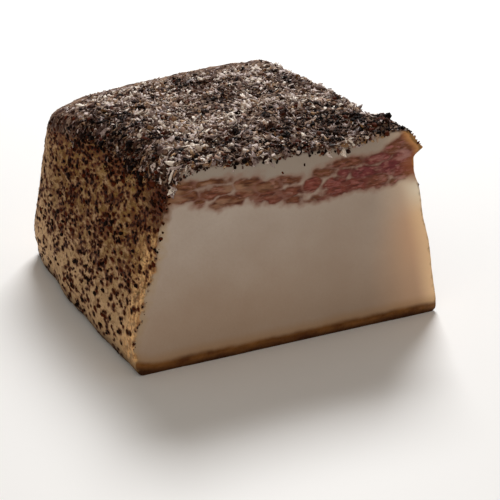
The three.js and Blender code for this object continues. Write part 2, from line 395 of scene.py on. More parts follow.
def rim_rise(points):
    """How far the crust stands above or below the solids' even top, along its right and back edges"""
    x, y, z = np.moveaxis(points, -1, 0)
    right = 1.2 * ease(8, 3, y) + 3.2 * hill(y, 15, 4) - 2.2 * hill(y, 29, 4.5) + 0.5 * hill(y, 50, 6)
    back = 1.4 * ease(30, 46, x) * ease(92, 112, y) + 1.2 * hill(x, 29, 10) * ease(102, 113, y)
    back = back - 0.9 * ease(14, 2, x) * ease(98, 112, y)
    return (right * ease(34, 41, x) + back) * ease(6.5, 0.5, crust_top(x, y) - z)


def build_shell():
    """The outside walls, the crust and the cut face, as grids of points that share their edges"""
    right = [(1, j / DEEP) for j in range(DEEP)]
    back = [(1 - 2 * i / ACROSS, 1) for i in range(ACROSS)]
    left = [(-1, j / DEEP) for j in range(DEEP, -1, -1)]
    u, share = np.array([*right, *back, *left], float).T
    outside = wall_rows(lambda w: outside_point(u, share, w), len(u))
    across = np.linspace(0, 1, ACROSS + 1)
    cut = wall_rows(lambda w: cut_point(across, w), len(across))

    side = outward(outside) * relief(outside)[..., None]
    side[:, [0, -1], 1] = 0
    outside = outside + side

    top_u, top_share = np.meshgrid(np.linspace(-1, 1, ACROSS + 1), np.linspace(0, 1, DEEP + 1))
    crust = outside_point(top_u, top_share, 1)
    lift = outward(crust) * relief(crust)[..., None]
    lift[0, :, 1] = 0
    crust = crust + lift
    crust[:, -1] = outside[-1, : DEEP + 1]
    crust[-1, ::-1] = outside[-1, DEEP : DEEP + ACROSS + 1]
    crust[::-1, 0] = outside[-1, DEEP + ACROSS :]

    from_left = cut[..., 0] - cut[:, :1, 0]
    from_right = cut[:, -1:, 0] - cut[..., 0]
    from_top = np.maximum(0, cut[-1:, :, 2] - cut[..., 2])
    moves = [(side[:, -1:], from_left, SIDE_CARRY), (side[:, :1], from_right, SIDE_CARRY)]
    moves.append((lift[:1], from_top, CRUST_CARRY))
    for move, distance, reach in moves:
        cut = cut + move * np.exp(-distance / reach)[..., None]
    cut[:, 0], cut[:, -1], cut[-1] = outside[:, -1], outside[:, 0], crust[0]
    inner = ease(0, 1.5, np.minimum(np.minimum(from_left, from_right), from_top))
    cut[..., 1] = inner * (0.10 * crags(cut, 14, 5) + 0.05 * crags(cut * KNIFE_MARK_STRETCH, 2.2, 6))
    shell = {"outside": outside, "crust": crust, "cut": cut}
    for grid in shell.values():
        grid[..., 2] += rim_rise(grid)
    return shell


def muscle_field(points):
    """Millimetres inside the nearest muscle bundle of the cut, its redness, and how near the next one is"""
    loose = ease(6, -14, points[..., 0])
    x = points[..., 0] + (0.7 + 0.9 * loose) * crags(points, 3.1, 7) + 0.25 * crags(points, 1.2, 8)
    z = points[..., 2] + (0.45 + 0.4 * loose) * crags(points, 2.6, 9) + 0.2 * crags(points, 1.0, 10)
    first, second, redness = np.full(x.shape, NO_MUSCLE), np.full(x.shape, NO_MUSCLE), np.zeros(x.shape)
    for at_x, at_z, length, height, tilt, red in BUNDLES:
        c, s = math.cos(math.radians(tilt)), math.sin(math.radians(tilt))
        along = np.abs((x - at_x) * c + (z - at_z) * s) / (length * BUNDLE_SPREAD)
        across = np.abs((z - at_z) * c - (x - at_x) * s) / (height * BUNDLE_SPREAD)
        depth = (1 - (along ** BUNDLE_SHAPE + across ** BUNDLE_SHAPE) ** (1 / BUNDLE_SHAPE)) * height
        redness = np.where(depth > first, red, redness)
        second = np.maximum(second, np.minimum(first, depth))
        first = np.maximum(first, depth)
    return first, redness, first - second


def stained(points, specks, reach):
    """How dark pepper oil has stained the fat round each speck, from 0 to 1"""
    tree = KDTree(len(specks))
    for i, place in enumerate(specks * SPECK_STRETCH):
        tree.insert(place, i)
    tree.balance()
    flat = points.reshape(-1, 3) * SPECK_STRETCH
    found = [tree.find(p)[1:] for p in flat.tolist()]
    near, distance = (np.array(column) for column in zip(*found))
    return ease(1, 0.25, distance / reach[near]).reshape(points.shape[:-1])


def with_fields(points, on_cut, specks, reach):
    """The shell's points, each followed by what the materials read there, in the underside's order"""
    x, y, z = np.moveaxis(points, -1, 0)
    if on_cut:
        from_edge = np.maximum(0, np.minimum(x - x[:, :1], x[:, -1:] - x))
        meat = muscle_field(points)
    else:
        from_edge = -y
        band = np.minimum(z - lean_under(x, y), lean_upper(x, y) - z)
        meat = band, np.full(x.shape, SIDE_REDNESS), np.full(x.shape, NO_SEAM)
    stain = stained(points, specks, reach)
    return np.dstack([points, crust_top(x, y) - z, stain, bare(points), from_edge, *meat])


def grid_faces(index):
    """Quads between the neighbours of a grid of vertex numbers"""
    corners = [index[:-1, :-1], index[:-1, 1:], index[1:, 1:], index[1:, :-1]]
    return np.stack(corners, axis=-1).reshape(-1, 4)


def in_scene(name, data):
    """An object of the scene from its mesh, light or camera"""
    thing = bpy.data.objects.new(name, data)
    bpy.context.collection.objects.link(thing)
    return thing


def new_piece(name, points, faces, finish, fields, crease=None):
    """A mesh of the block from millimetre points, riding on the block"""
    mesh = bpy.data.meshes.new(name)
    at = np.asarray(points, float) * MM + [FOOT_MIDDLE, CUT_PLANE, 0]
    mesh.from_pydata(at.tolist(), [], [list(f) for f in faces])
    for field, values in fields.items():
        mesh.attributes.new(field, "FLOAT", "POINT").data.foreach_set("value", np.asarray(values, np.float32))
    mesh.polygons.foreach_set("use_smooth", [True] * len(mesh.polygons))
    if crease:
        mesh.set_sharp_from_angle(angle=math.radians(crease))
    mesh.materials.append(finish)
    piece = in_scene(name, mesh)
    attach(piece, "root")
    return piece


def layer_piece(name, sheets, rows, finish, foot=False, crust=False):
    """One layer of the block: its stretch of wall, closed below and above"""
    first, last = rows
    wall = np.concatenate([sheets[part][first : last + 1, :-1] for part in ("cut", "outside")], axis=1)
    index = np.arange(wall[..., 0].size).reshape(wall.shape[:2])
    vertices, faces = [wall.reshape(index.size, -1)], [grid_faces(np.column_stack([index, index[:, :1]]))]
    hidden = list(UNDERSIDE.values())

    def number(fresh):
        """Adds vertices and gives their numbers"""
        start = sum(len(part) for part in vertices)
        vertices.append(np.array(fresh))
        return np.arange(start, start + len(fresh))

    ring = index[0]
    if foot:
        middle = np.array([0, DEPTH / 2])
        for share in FOOT_RINGS:
            inner = number([[*spot, 0, *hidden] for spot in mix(middle, wall[0, :, :2], share)])
            faces.append(grid_faces(np.stack([np.append(inner, inner[0]), np.append(ring, ring[0])])))
            ring = inner
    fans = [(ring[::-1], wall[0, :, :3].mean(axis=0) * [1, 1, not foot])]

    if crust:
        rim, whole = index[-1], np.zeros(sheets["crust"].shape[:2], int)
        whole[0] = rim[: ACROSS + 1]
        whole[:, -1] = rim[ACROSS : ACROSS + DEEP + 1]
        whole[-1, ::-1] = rim[ACROSS + DEEP : 2 * ACROSS + DEEP + 1]
        whole[::-1, 0] = np.append(rim, rim[0])[2 * ACROSS + DEEP :]
        inner = sheets["crust"][1:-1, 1:-1]
        numbers = number(inner.reshape(-1, inner.shape[-1]))
        whole[1:-1, 1:-1] = numbers.reshape(inner.shape[:2])
        faces.append(grid_faces(whole))
    else:
        fans.append((index[-1], wall[-1, :, :3].mean(axis=0)))

    triangles = []
    for loop, middle in fans:
        hub = number([[*middle, *hidden]])
        triangles.append(np.column_stack([loop, np.roll(loop, -1), np.full(len(loop), hub)]))
    every_face = [*np.concatenate(faces), *np.concatenate(triangles)]
    points = np.concatenate(vertices)
    fields = dict(zip(UNDERSIDE, points[:, 3:].T))
    return new_piece(name, points[:, :3], every_face, finish, fields, CREASE_DEGREES)


# Seasoning

def triangles_of(grid):
    """Two triangles for each cell of a grid of points, with their areas and outward directions"""
    a, b, c, d = grid[:-1, :-1], grid[:-1, 1:], grid[1:, 1:], grid[1:, :-1]
    corners = np.concatenate([np.stack([a, b, c], axis=2), np.stack([a, c, d], axis=2)]).reshape(-1, 3, 3)
    cross = np.cross(corners[:, 1] - corners[:, 0], corners[:, 2] - corners[:, 0])
    size = np.linalg.norm(cross, axis=1)
    return corners, size / 2, cross / np.maximum(size, 1e-9)[:, None]


def scatter(grids, density, rng):
    """Places and directions strewn over grids of points, so many to a square millimetre"""
    found = [triangles_of(grid) for grid in grids]
    corners, areas, normals = (np.concatenate(part) for part in zip(*found))
    expected = areas * density(corners.mean(axis=1))
    count = rng.poisson(expected)
    which = np.repeat(np.arange(len(areas)), count)
    r1, r2 = np.sqrt(rng.random(len(which))), rng.random(len(which))
    weights = np.column_stack([1 - r1, r1 * (1 - r2), r1 * r2])
    return np.einsum("nk,nkx->nx", weights, corners[which]), normals[which]


def icosahedron():
    g = (1 + math.sqrt(5)) / 2
    base = [(-1, g, 0), (1, g, 0), (-1, -g, 0), (1, -g, 0)]
    points = [p for x, y, z in base for p in ((x, y, z), (z, x, y), (y, z, x))]
    points = np.array(points, float) / math.hypot(1, g)
    longest_side = 1.2
    faces = []
    for i, j, k in combinations(range(len(points)), 3):
        a, b, c = points[[i, j, k]]
        if max(np.linalg.norm(side) for side in (a - b, b - c, c - a)) < longest_side:
            faces.append((i, j, k) if np.cross(b - a, c - a) @ a > 0 else (i, k, j))
    return points, np.array(faces)


def cracked_chips(rng, kinds, knock, cuts):
    """Angular crumbs of unit size: a ball knocked out of shape and broken along flat planes"""
    ball, faces = icosahedron()
    shapes = []
    for _ in range(kinds):
        points = ball * (1 + knock * (2 * rng.random((len(ball), 1)) - 1))
        for _ in range(cuts):
            plane = rng.normal(size=3)
            plane /= np.linalg.norm(plane)
            over = np.maximum(0, points @ plane - rng.uniform(0.3, 0.7))
            points = points - over[:, None] * plane
        shapes.append(points)
    return shapes, faces


def grit(rng, kinds):
    """The smallest crumbs: eight uneven sides"""
    tips = np.array([(1, 0, 0), (0, 1, 0), (-1, 0, 0), (0, -1, 0), (0, 0, 1), (0, 0, -1)], float)
    shapes = [tips * (1 + 0.45 * (2 * rng.random((6, 1)) - 1)) for _ in range(kinds)]
    faces = [(i, (i + 1) % 4, 4) for i in range(4)] + [((i + 1) % 4, i, 5) for i in range(4)]
    return shapes, np.array(faces)


def husk_flakes(rng, kinds):
    """Thin curled shards of unit half length, with torn outlines"""
    shapes = []
    a, b = np.meshgrid(np.linspace(-1, 1, 5), np.array([-1, 0, 1]))
    for _ in range(kinds):
        curl, roll, twist = rng.uniform(-0.18, 0.2), rng.uniform(-0.2, 0.25), rng.uniform(-0.3, 0.3)
        torn = 1 + 0.28 * (2 * rng.random(a.shape) - 1)
        narrow = np.sqrt(1.12 - a * a)
        x, y = a * torn, b * torn * narrow * rng.uniform(0.5, 0.95)
        z = curl * x * x + roll * y * y + twist * x * y + 0.06 * rng.normal(size=a.shape)
        skin = np.stack([x, y, z], axis=-1).reshape(-1, 3)
        shapes.append(np.concatenate([skin, skin - [0, 0, 0.17]]))
    top = np.arange(15).reshape(3, 5)
    rim = [*top[0], *top[1:, -1], *top[-1, -2::-1], top[1, 0]]
    faces = [*grid_faces(top), *(grid_faces(top)[:, ::-1] + top.size)]
    faces += [(a, a + top.size, b + top.size, b) for a, b in zip(rim, [*rim[1:], rim[0]])]
    return shapes, np.array(faces)


def herb_needles(rng, kinds):
    """Slender bent needles of unit half length"""
    shapes = []
    for _ in range(kinds):
        t = np.linspace(-1, 1, 6)
        bend = rng.uniform(-0.3, 0.3)
        thick = 0.13 * np.sqrt(np.maximum(0.08, 1 - t * t))
        rings = []
        for turn in (0, 2, 4):
            angle = turn * math.pi / 3
            across = bend * t * t + thick * math.cos(angle)
            rings.append(np.stack([t, across, 0.6 * thick * math.sin(angle)], axis=1))
        shapes.append(np.stack(rings, axis=1).reshape(-1, 3))
    index = np.arange(len(shapes[0])).reshape(-1, 3)
    sides = grid_faces(np.column_stack([index, index[:, :1]]))
    return shapes, [*sides, index[0], index[-1][::-1]]


def strewn(name, places, normals, kit, sizes, lean_over, lift, finish, rng, pale=0, along=0, even=0.05):
    """One mesh of many crumbs, each on its place and turned its own way, or somewhat along the block"""
    shapes, faces = kit
    count = len(places)
    kind = rng.integers(len(shapes), size=count)
    up = normals + lean_over * rng.normal(size=(count, 3)) * (1 - 0.7 * bare(places))[:, None]
    up /= np.linalg.norm(up, axis=1, keepdims=True)
    side = np.cross(np.cross(up, rng.normal(size=(count, 3)) + [0, along, 0]), up)
    side /= np.linalg.norm(side, axis=1, keepdims=True)
    turn = np.stack([side, np.cross(up, side), up], axis=1)
    local = np.array(shapes)[kind] * sizes[:, None, :]
    raised = places + normals * np.reshape(lift, (-1, 1))
    points = raised[:, None, :] + np.einsum("nvk,nkx->nvx", local, turn)
    each = points.shape[1]
    shared = np.arange(count)[:, None] * each
    every_face = [tuple(face) for f in faces for face in (shared + np.array(f)).tolist()]
    clump = 0.34 * crags(places, 2.0, 21)
    tone = np.clip(mix(rng.random(count), 0.5, even) + clump + pale * patches(places), 0, 1)
    warmth = rng.random(count) + 0.07 * ease(9, 0, places[:, 1])
    fields = {"tone": np.repeat(tone, each), "warmth": np.repeat(warmth, each)}
    new_piece(name, points.reshape(-1, 3), every_face, finish, fields)


def hang_corner_husks(kit, finish, wall):
    """One mesh of long husks laid flat against the cut face, or against the left side's wall"""
    shapes, faces = kit
    points, every_face = [], []
    for i, (x, y, z, length, width, turn, _, _) in enumerate(CORNER_HUSKS):
        place, across, out = np.array([x, y, z]), np.array([1, 0, 0]), np.array([0, -1, 0])
        if y > 0:
            place = wall[np.argmin(np.linalg.norm(wall - place, axis=1))]
            across, out = np.array([0, -1, 0]), np.array(LEFT_WALL_FACES)
        up = np.cross(out, across)
        c, s = math.cos(math.radians(turn)), math.sin(math.radians(turn))
        own_frame = np.array([c * across + s * up, c * up - s * across, out])
        every_face += [tuple(np.array(f) + len(points) * len(shapes[0])) for f in faces]
        points.append(shapes[i] * [length, width, HUSK_THICKNESS] @ own_frame + place + HUSK_STANDS_OFF * out)
    *_, tones, warmths = zip(*CORNER_HUSKS)
    fields = {k: np.repeat(v, len(shapes[0])) for k, v in {"tone": tones, "warmth": warmths}.items()}
    new_piece("corner_husks", np.concatenate(points), every_face, finish, fields)


def sizes_of(count, rng, small, large, flat, long=1.5, skew=2.0):
    """Half lengths, widths and thicknesses, the small ones being the commonest"""
    width = mix(small, large, rng.random(count) ** skew)
    length = width * rng.uniform(1, long, count)
    return np.column_stack([length, width, width * rng.uniform(0.6, 1, count) * flat])


def in_patches(a, b, places):
    return sum(hill(a, at_a, reach) * hill(b, at_b, reach) for at_a, at_b, reach in places)


def patches(points):
    """Where the crust is pale with husk and salt, 1, and where it is black with pepper, -1"""
    x, y, z = points.T
    placed = in_patches(x, y, PALE_PATCHES) - in_patches(x, y, BLACK_PATCHES)
    clumps = 0.6 * crags(points, 6, 14) + 0.8 * crags(points, 3, 20)
    down = 0.45 * ease(1, 5, crust_top(x, y) - z)
    return np.clip(placed + clumps + 0.5 * ease(60, 110, y) - down, -1, 1)


def bare(points):
    """1 along the back and the back left edge of the top, where little seasoning has stuck"""
    x, y, z = np.moveaxis(points, -1, 0)
    corner = ease(-26, -42, x + 0.25 * (120 - y)) * ease(60, 88, y)
    return np.clip(ease(98, 116, y) + corner + 0.3 * crags(points, 9, 19), 0, 1)


# Finishes

def srgb(red, green, blue):
    """A colour as the eye names it, from 0 to 255, in the light units that shaders use"""
    parts = [c / 255 for c in (red, green, blue)]
    return tuple(c / 12.92 if c <= 0.04045 else ((c + 0.055) / 1.055) ** 2.4 for c in parts) + (1,)


class Tone:
    """A number, colour or place that varies over a surface. Sums on numbers add Math nodes."""

    def __init__(self, finish, socket):
        self.finish = finish
        self.socket = socket

    def math(self, operation, *values):
        sockets = dict(enumerate(values))
        return self.finish.node("ShaderNodeMath", {"operation": operation}, sockets)

    def __add__(self, other):
        return self.math("ADD", self, other)

    def __sub__(self, other):
        return self.math("SUBTRACT", self, other)

    def __rsub__(self, other):
        return self.math("SUBTRACT", other, self)

    def __mul__(self, other):
        return self.math("MULTIPLY", self, other)

    __radd__ = __add__
    __rmul__ = __mul__

    def sway(self, amount):
        """Up to half the amount either way, for noise from 0 to 1"""
        return amount * (self - 0.5)

    def rises(self, start, end):
        """0 below start, 1 above end, smooth between; start may be the larger"""
        settings = {"interpolation_type": "SMOOTHSTEP"}
        if start < end:
            return self.finish.node("ShaderNodeMapRange", settings, {0: self, 1: start, 2: end})
        return 1 - self.finish.node("ShaderNodeMapRange", settings, {0: self, 1: end, 2: start})


class Finish:
    """A material under construction"""

    def __init__(self, name, **constants):
        self.material = bpy.data.materials.new(name)
        self.material.use_nodes = True
        self.tree = self.material.node_tree
        self.shader = self.tree.nodes["Principled BSDF"]
        for socket, value in constants.items():
            self.shader.inputs[socket.replace("_", " ")].default_value = value

    def node(self, kind, settings=None, sockets=None, out=0):
        node = self.tree.nodes.new(kind)
        for key, value in (settings or {}).items():
            if key == "stops":
                self.set_stops(node.color_ramp, value)
            else:
                setattr(node, key, value)
        for key, value in (sockets or {}).items():
            if isinstance(value, Tone):
                self.tree.links.new(value.socket, node.inputs[key])
            else:
                node.inputs[key].default_value = value
        return Tone(self, node.outputs[out])

    def set_stops(self, ramp, stops):
        while len(ramp.elements) < len(stops):
            ramp.elements.new(0.5)
        for element, (place, *colour) in zip(ramp.elements, stops):
            element.position = place
            element.color = srgb(*colour)

    def field(self, name):
        return self.node("ShaderNodeAttribute", {"attribute_name": name}, out="Fac")

    def place(self, stretch=(1, 1, 1)):
        """Millimetres in the object's own frame, stretched"""
        spot = self.node("ShaderNodeTexCoord", out="Object")
        scale = tuple(s / MM for s in stretch)
        return self.node("ShaderNodeVectorMath", {"operation": "MULTIPLY"}, {0: spot, 1: scale})

    def mottle(self, pitch, detail=2, stretch=(1, 1, 1), warp=0):
        """Soft noise from about 0 to 1, with patches one pitch wide"""
        sockets = {"Vector": self.place(stretch), "Scale": 1 / pitch, "Detail": detail, "Distortion": warp}
        return self.node("ShaderNodeTexNoise", {}, sockets)

    def spots(self, pitch):
        """Distance to the nearest of many strewn points, as a share of the pitch"""
        sockets = {"Vector": self.place(), "Scale": 1 / pitch}
        return self.node("ShaderNodeTexVoronoi", {}, sockets, out="Distance")

    def blend(self, share, first, second):
        """The second colour over the first by its share, each of them worked out or from 0 to 255"""
        first, second = (c if isinstance(c, Tone) else srgb(*c) for c in (first, second))
        return self.node("ShaderNodeMix", {"data_type": "RGBA"}, {0: share, 6: first, 7: second}, out=2)

    def coats(self, colour, *coats):
        """One colour after another over the first, each by its own share"""
        for share, over in coats:
            colour = self.blend(share, colour, over)
        return colour

    def ramp(self, value, *stops):
        """Colours along a value, each as its place and its red, green and blue from 0 to 255"""
        return self.node("ShaderNodeValToRGB", {"stops": stops}, {0: value})

    def wear(self, colour, roughness, height, depth):
        """Puts the worked-out colour, roughness and relief on the shader"""
        bump = self.node("ShaderNodeBump", {}, {"Height": height, "Distance": depth * MM, "Strength": 1})
        for name, tone in {"Base Color": colour, "Roughness": roughness, "Normal": bump}.items():
            self.tree.links.new(tone.socket, self.shader.inputs[name])
        return self.material


class Flesh(Finish):
    """The one finish of fat, lean, cured outside and crust's bed, with the tones that they share"""

    def __init__(self):
        super().__init__("cured fatback", Specular_IOR_Level=0.1)
        self.broad = self.mottle(16)
        self.fine = self.mottle(0.9, 3)
        self.ragged = self.mottle(1.7, 3)
        spot = {0: self.place()}
        self.side, self.height = (self.node("ShaderNodeSeparateXYZ", {}, spot, out=axis) for axis in "XZ")
        self.left_part = self.side.rises(0, -20)
        self.right_part = self.side.rises(10, 30)
        self.lip = self.right_part * self.height.rises(46, 54)
        self.from_edge = self.field("from_edge")
        torn = self.mottle(3.6, 3).sway(3.6) + self.ragged.sway(1.4)
        self.edge = self.from_edge + (0.5 + self.left_part) * torn
        inside = self.field("muscle") + 1.3 * (self.mottle(2.6, 3) - 0.46)
        self.inside = inside + (self.mottle(5.2) - 0.5)
        corner = self.from_edge.rises(7, 0) * self.left_part
        self.rind_top = self.height + self.mottle(9).sway(1.6) + self.ragged.sway(0.5) - 1.8 * corner


def cut_fat(f):
    """Cut fat: creamy, greyer to the right and over the lean, warmer low down, with a painted glow of light
    at the right edge
    """
    ground = f.ramp(f.broad, (0.3, 186, 169, 155), (0.7, 197, 182, 169))
    # Painted light: a warm glow near the right edge, as of light shining through the thin fat, more orange
    # lower down
    painted_glow_colour = f.blend(f.height.rises(34, 48), (226, 180, 142), (234, 204, 174))
    painted_glow_share = (f.side + f.broad.sway(5)).rises(27, 48) * (0.55 + 0.3 * f.height.rises(12, 30))
    return f.coats(
        ground,
        (f.fine.rises(0.35, 0.75) * 0.2, (180, 158, 140)),
        ((f.height + f.broad.sway(10)).rises(48, 8) * 0.6, (178, 148, 122)),
        ((f.height + f.broad.sway(3)).rises(54, 58) * 0.8, (160, 147, 134)),
        ((f.side + f.broad.sway(8)).rises(-14, 24) * 0.4, (164, 143, 125)),
        (painted_glow_share, painted_glow_colour),
    )


def cut_lean(f):
    """Cut lean: bundles from brown at the left to red at the right, with fibres, marbling and pale seams"""
    redness = f.field("redness") + f.mottle(2.4, 3).sway(0.5)
    ground = f.ramp(redness, (0, 116, 76, 46), (0.35, 122, 72, 50), (0.65, 128, 64, 52), (1, 118, 52, 54))
    fibre = f.mottle(1.1, 3, (0.35, 1, 1.3))
    marbling = f.mottle(1.9, 3, (0.4, 1, 1.3), 0.8).rises(0.56, 0.7)
    streaks = f.mottle(1.6, 3, (0.45, 1, 1.3)).rises(0.54, 0.66) * f.side.rises(0, 15)
    loose = f.mottle(2.8, 2, (0.35, 1, 1.1)).rises(0.46, 0.64) * f.side.rises(0, -22)
    veil = f.mottle(2.6, 3, (0.38, 1, 1.2), 0.6).rises(0.47, 0.63) * f.side.rises(24, 40)
    seam = f.field("seam") + 2.2 * (f.mottle(4.5) - 0.42)
    return f.coats(
        ground,
        (fibre.rises(0.54, 0.34) * (0.75 - 0.3 * f.side.rises(20, 36)), (70, 34, 26)),
        (fibre.rises(0.52, 0.7) * 0.6, (160, 106, 92)),
        (f.inside.rises(0.8, 0) * 0.45, (88, 46, 32)),
        (marbling * 0.55, (176, 130, 114)),
        (streaks * (0.4 + 0.4 * f.side.rises(24, 40)), (174, 112, 106)),
        (loose * 0.55, (178, 140, 112)),
        (veil * 0.65, (186, 138, 128)),
        (seam.rises(1.4, 0.3) * 0.25, (86, 46, 36)),
        (seam.rises(0.7, 0) * (0.5 - 0.4 * f.side.rises(-5, 25)), (152, 108, 94)),
    )


def cut_face(f):
    """The cut: fat, the lean in it, tan that has crept in at the edges, a painted glow at the right edge, and
    brown rind along the foot
    """
    crept = f.blend(f.height.rises(46, 51), (180, 150, 104), (124, 78, 42))
    fringe = 0.2 + f.left_part * (0.2 + 0.3 * f.height.rises(40, 50))
    # Painted light: a bright cream glow along the cut's right edge below the lean, as of light shining
    # through the fat
    glow = f.from_edge.rises(8, 0) * f.right_part
    painted_edge_glow = f.blend(f.height.rises(36, 48), (255, 214, 168), (255, 240, 214))
    lobe = f.right_part * f.height.rises(58.2, 60)
    rind = f.ramp(f.mottle(2.4, 3, (0.4, 1, 1)), (0.3, 92, 52, 24), (0.7, 138, 92, 48))
    return f.coats(
        cut_fat(f),
        (f.inside.rises(-1.4, 0.1) * 0.65, (152, 112, 94)),
        (f.inside.rises(-0.45, 0.4), cut_lean(f)),
        (f.edge.rises(3.4, 0.2) * fringe, crept),
        (glow * f.height.rises(52, 48) * 0.95, painted_edge_glow),
        (f.edge.rises(6, 1) * f.lip * 0.7, (156, 92, 56)),
        (f.edge.rises(5, 1) * lobe * 0.85, (216, 156, 96)),
        (f.edge.rises(2, 0.8) * lobe * 0.75, (112, 84, 44)),
        (f.rind_top.rises(8, 3.6) * 0.5, (172, 130, 82)),
        (f.rind_top.rises(4.6, 2.6), rind),
        (f.rind_top.rises(2.2, 0.2) * 0.8, (44, 20, 8)),
    )


def underside(f):
    """The rind that the block rests on, with its pores"""
    rind = f.blend(f.mottle(7, 3).rises(0.3, 0.7), (128, 84, 48), (156, 112, 70))
    return f.blend(f.spots(2.2).rises(0.16, 0.06) * 0.6, rind, (74, 44, 24))


def cured_side(f):
    """The cured outside: mottled tan, golden near the cut, stained by the specks, dark by crust, paler low
    down, partly painted light, and dark at the foot, partly painted shade
    """
    ground = f.ramp(
        f.mottle(4.5, 3, SPECK_STRETCH, 0.5), (0.32, 112, 76, 34), (0.5, 146, 112, 64), (0.68, 166, 134, 94)
    )
    pale = f.mottle(2.1, 3, SPECK_STRETCH).rises(0.5, 0.57) * (0.3 + 0.4 * f.height.rises(45, 15))
    olive = f.mottle(2.8, 3, SPECK_STRETCH).rises(0.5, 0.57)
    dimmed = f.edge.rises(-18, -4) * f.height.rises(30, 48) * f.left_part
    golden = f.edge.rises(-17, -2) * f.mottle(2.8, 3).rises(0.3, 0.62) * (0.5 + 0.5 * f.left_part)
    golden = golden * (1 - 0.7 * f.height.rises(38, 52))
    rusty = f.edge.rises(-15, -3) * f.mottle(1.9, 3).rises(0.5, 0.58)
    towards_back = f.edge.rises(-76, -118) * (0.45 + 0.4 * f.side.rises(34, -44))
    brown = f.mottle(1.4, 3, SPECK_STRETCH) - 0.06 * f.height.rises(30, 5)
    low_down = f.height.rises(26, 8)
    dust = f.mottle(0.85, 2, SPECK_STRETCH) + f.mottle(3.5).sway(0.25)
    lean_band = f.field("muscle") + 18 * (f.mottle(4.6, 3, SPECK_STRETCH) - 0.57)
    scorched = f.from_edge.rises(-20, -4) * f.height.rises(40, 53) * f.left_part
    stain = f.field("stain") + f.mottle(0.9, 3, SPECK_STRETCH).sway(0.7)
    return f.coats(
        ground,
        (pale, (194, 158, 124)),
        (olive * 0.7, (128, 94, 34)),
        # Paler low down: the side's own paler lower part, with painted bounce light from the floor
        (f.height.rises(40, 6) * 0.7, (216, 180, 138)),
        (dimmed * 0.6, (132, 88, 38)),
        (golden * 0.9, (250, 200, 138)),
        (rusty * 0.6, (150, 92, 50)),
        (towards_back * (0.7 + f.mottle(5.5, 3).sway(0.6)), (238, 194, 148)),
        (brown.rises(0.48, 0.56) * (0.66 - 0.3 * golden - 0.28 * low_down), (98, 52, 22)),
        (dust.rises(0.56, 0.64) * (0.5 - 0.25 * low_down), (48, 22, 9)),
        (lean_band.rises(-1, 1.5) * 0.55, (94, 44, 25)),
        (scorched * f.mottle(2.6, 3).rises(0.25, 0.45) * 0.85, (54, 19, 12)),
        (stain.rises(0.15, 0.6) * 0.8, (96, 40, 15)),
        (stain.rises(0.6, 0.95) * 0.85, (30, 8, 2)),
        # Darker along the foot: the rind's darker edge, with painted shade where the block meets the floor
        ((f.height + f.broad.sway(2)).rises(6.5, 1) * 0.72, (58, 32, 14)),
        (f.height.rises(2.4, 1) * 0.85, (26, 11, 5)),
        (f.height.rises(0.12, 0.04), underside(f)),
        (f.edge.rises(-3.5, -0.8) * f.lip * 0.85, (214, 146, 70)),
    )


def crust_bed(f):
    """What the seasoning sits on: a dark paste, smoother where the crust is bare, darkest at the left edge"""
    paste = f.mottle(1.7, 4, warp=0.5) + f.mottle(5, 3).sway(0.5)
    smooth = f.ramp(
        f.mottle(3.4, 4, warp=0.5), (0.4, 58, 24, 15), (0.49, 112, 80, 62), (0.62, 166, 136, 116)
    )
    return f.coats(
        f.ramp(paste, (0.34, 24, 10, 5), (0.46, 68, 42, 28), (0.56, 120, 96, 78), (0.7, 170, 146, 128)),
        (f.field("bare") * f.mottle(2.2, 3).rises(0.25, 0.5) * 0.75, smooth),
        (f.side.rises(-38, -50) * f.mottle(2.6, 3).rises(0.4, 0.56) * 0.65, (52, 23, 14)),
    )


def flesh_finish():
    """Cut, cured outside and crust's bed, each where the block has it"""
    f = Flesh()
    flesh = f.blend((f.edge + f.ragged.sway(1.2)).rises(0.9, -0.9), cut_face(f), cured_side(f))
    under = f.field("under_crust") + f.mottle(3.2, 3).sway(3.5)
    overhang = f.from_edge.rises(0.3, -0.6) * 5.5
    colour = f.blend((under - overhang).rises(2.2, 1), flesh, crust_bed(f))
    cured = f.edge.rises(0.7, -0.2)
    roughness = 0.38 + 0.3 * cured + 0.1 * f.fine - 0.15 * f.rind_top.rises(4.6, 2.6)
    relief_height = 0.25 * f.fine + cured * f.mottle(1.2, 4) + 0.3 * f.inside.rises(-0.35, 0.4)
    return f.wear(colour, roughness, relief_height, 0.35)


def seasoning_finish(name, stops, warm, share, rough, gloss):
    """A finish for crumbs: a shade for each one from its tone, and for a share of them a warmer colour"""
    f = Finish(name, Specular_IOR_Level=gloss)
    shade = f.ramp(f.field("tone") + f.mottle(0.8).sway(0.9), *stops)
    colour = f.blend(f.field("warmth").rises(1 - share, 1.02 - share) * 0.8, shade, warm)
    return f.wear(colour, rough + 0.2 * f.mottle(0.5), f.mottle(0.35, 3), 0.22)


def pepper_finish():
    stops = [(0, 10, 3, 1), (0.4, 34, 16, 9), (0.7, 76, 50, 38), (0.88, 130, 102, 88), (1, 176, 146, 130)]
    return seasoning_finish("cracked pepper", stops, (88, 38, 18), 0.15, rough=0.5, gloss=0.05)


def speck_finish():
    stops = [(0, 14, 4, 1), (0.6, 30, 11, 4), (1, 70, 34, 15)]
    return seasoning_finish("pressed pepper specks", stops, (84, 32, 12), 0.2, rough=0.7, gloss=0.02)


def kernel_finish():
    stops = [(0, 92, 64, 54), (0.35, 168, 144, 134), (0.7, 214, 196, 184), (1, 246, 234, 220)]
    return seasoning_finish("pepper kernel", stops, (186, 142, 92), 0.2, rough=0.45, gloss=0.3)


def husk_finish():
    stops = [
        (0, 58, 32, 24), (0.25, 112, 86, 78), (0.55, 164, 142, 136), (0.8, 214, 194, 186), (1, 244, 230, 214)
    ]
    return seasoning_finish("husk and herb", stops, (150, 108, 66), 0.18, rough=0.38, gloss=0.3)


def salt_finish():
    stops = [(0, 206, 196, 182), (1, 246, 240, 230)]
    return seasoning_finish("salt crystals", stops, (226, 204, 170), 0.2, rough=0.2, gloss=0.6)


# Where the seasoning lies

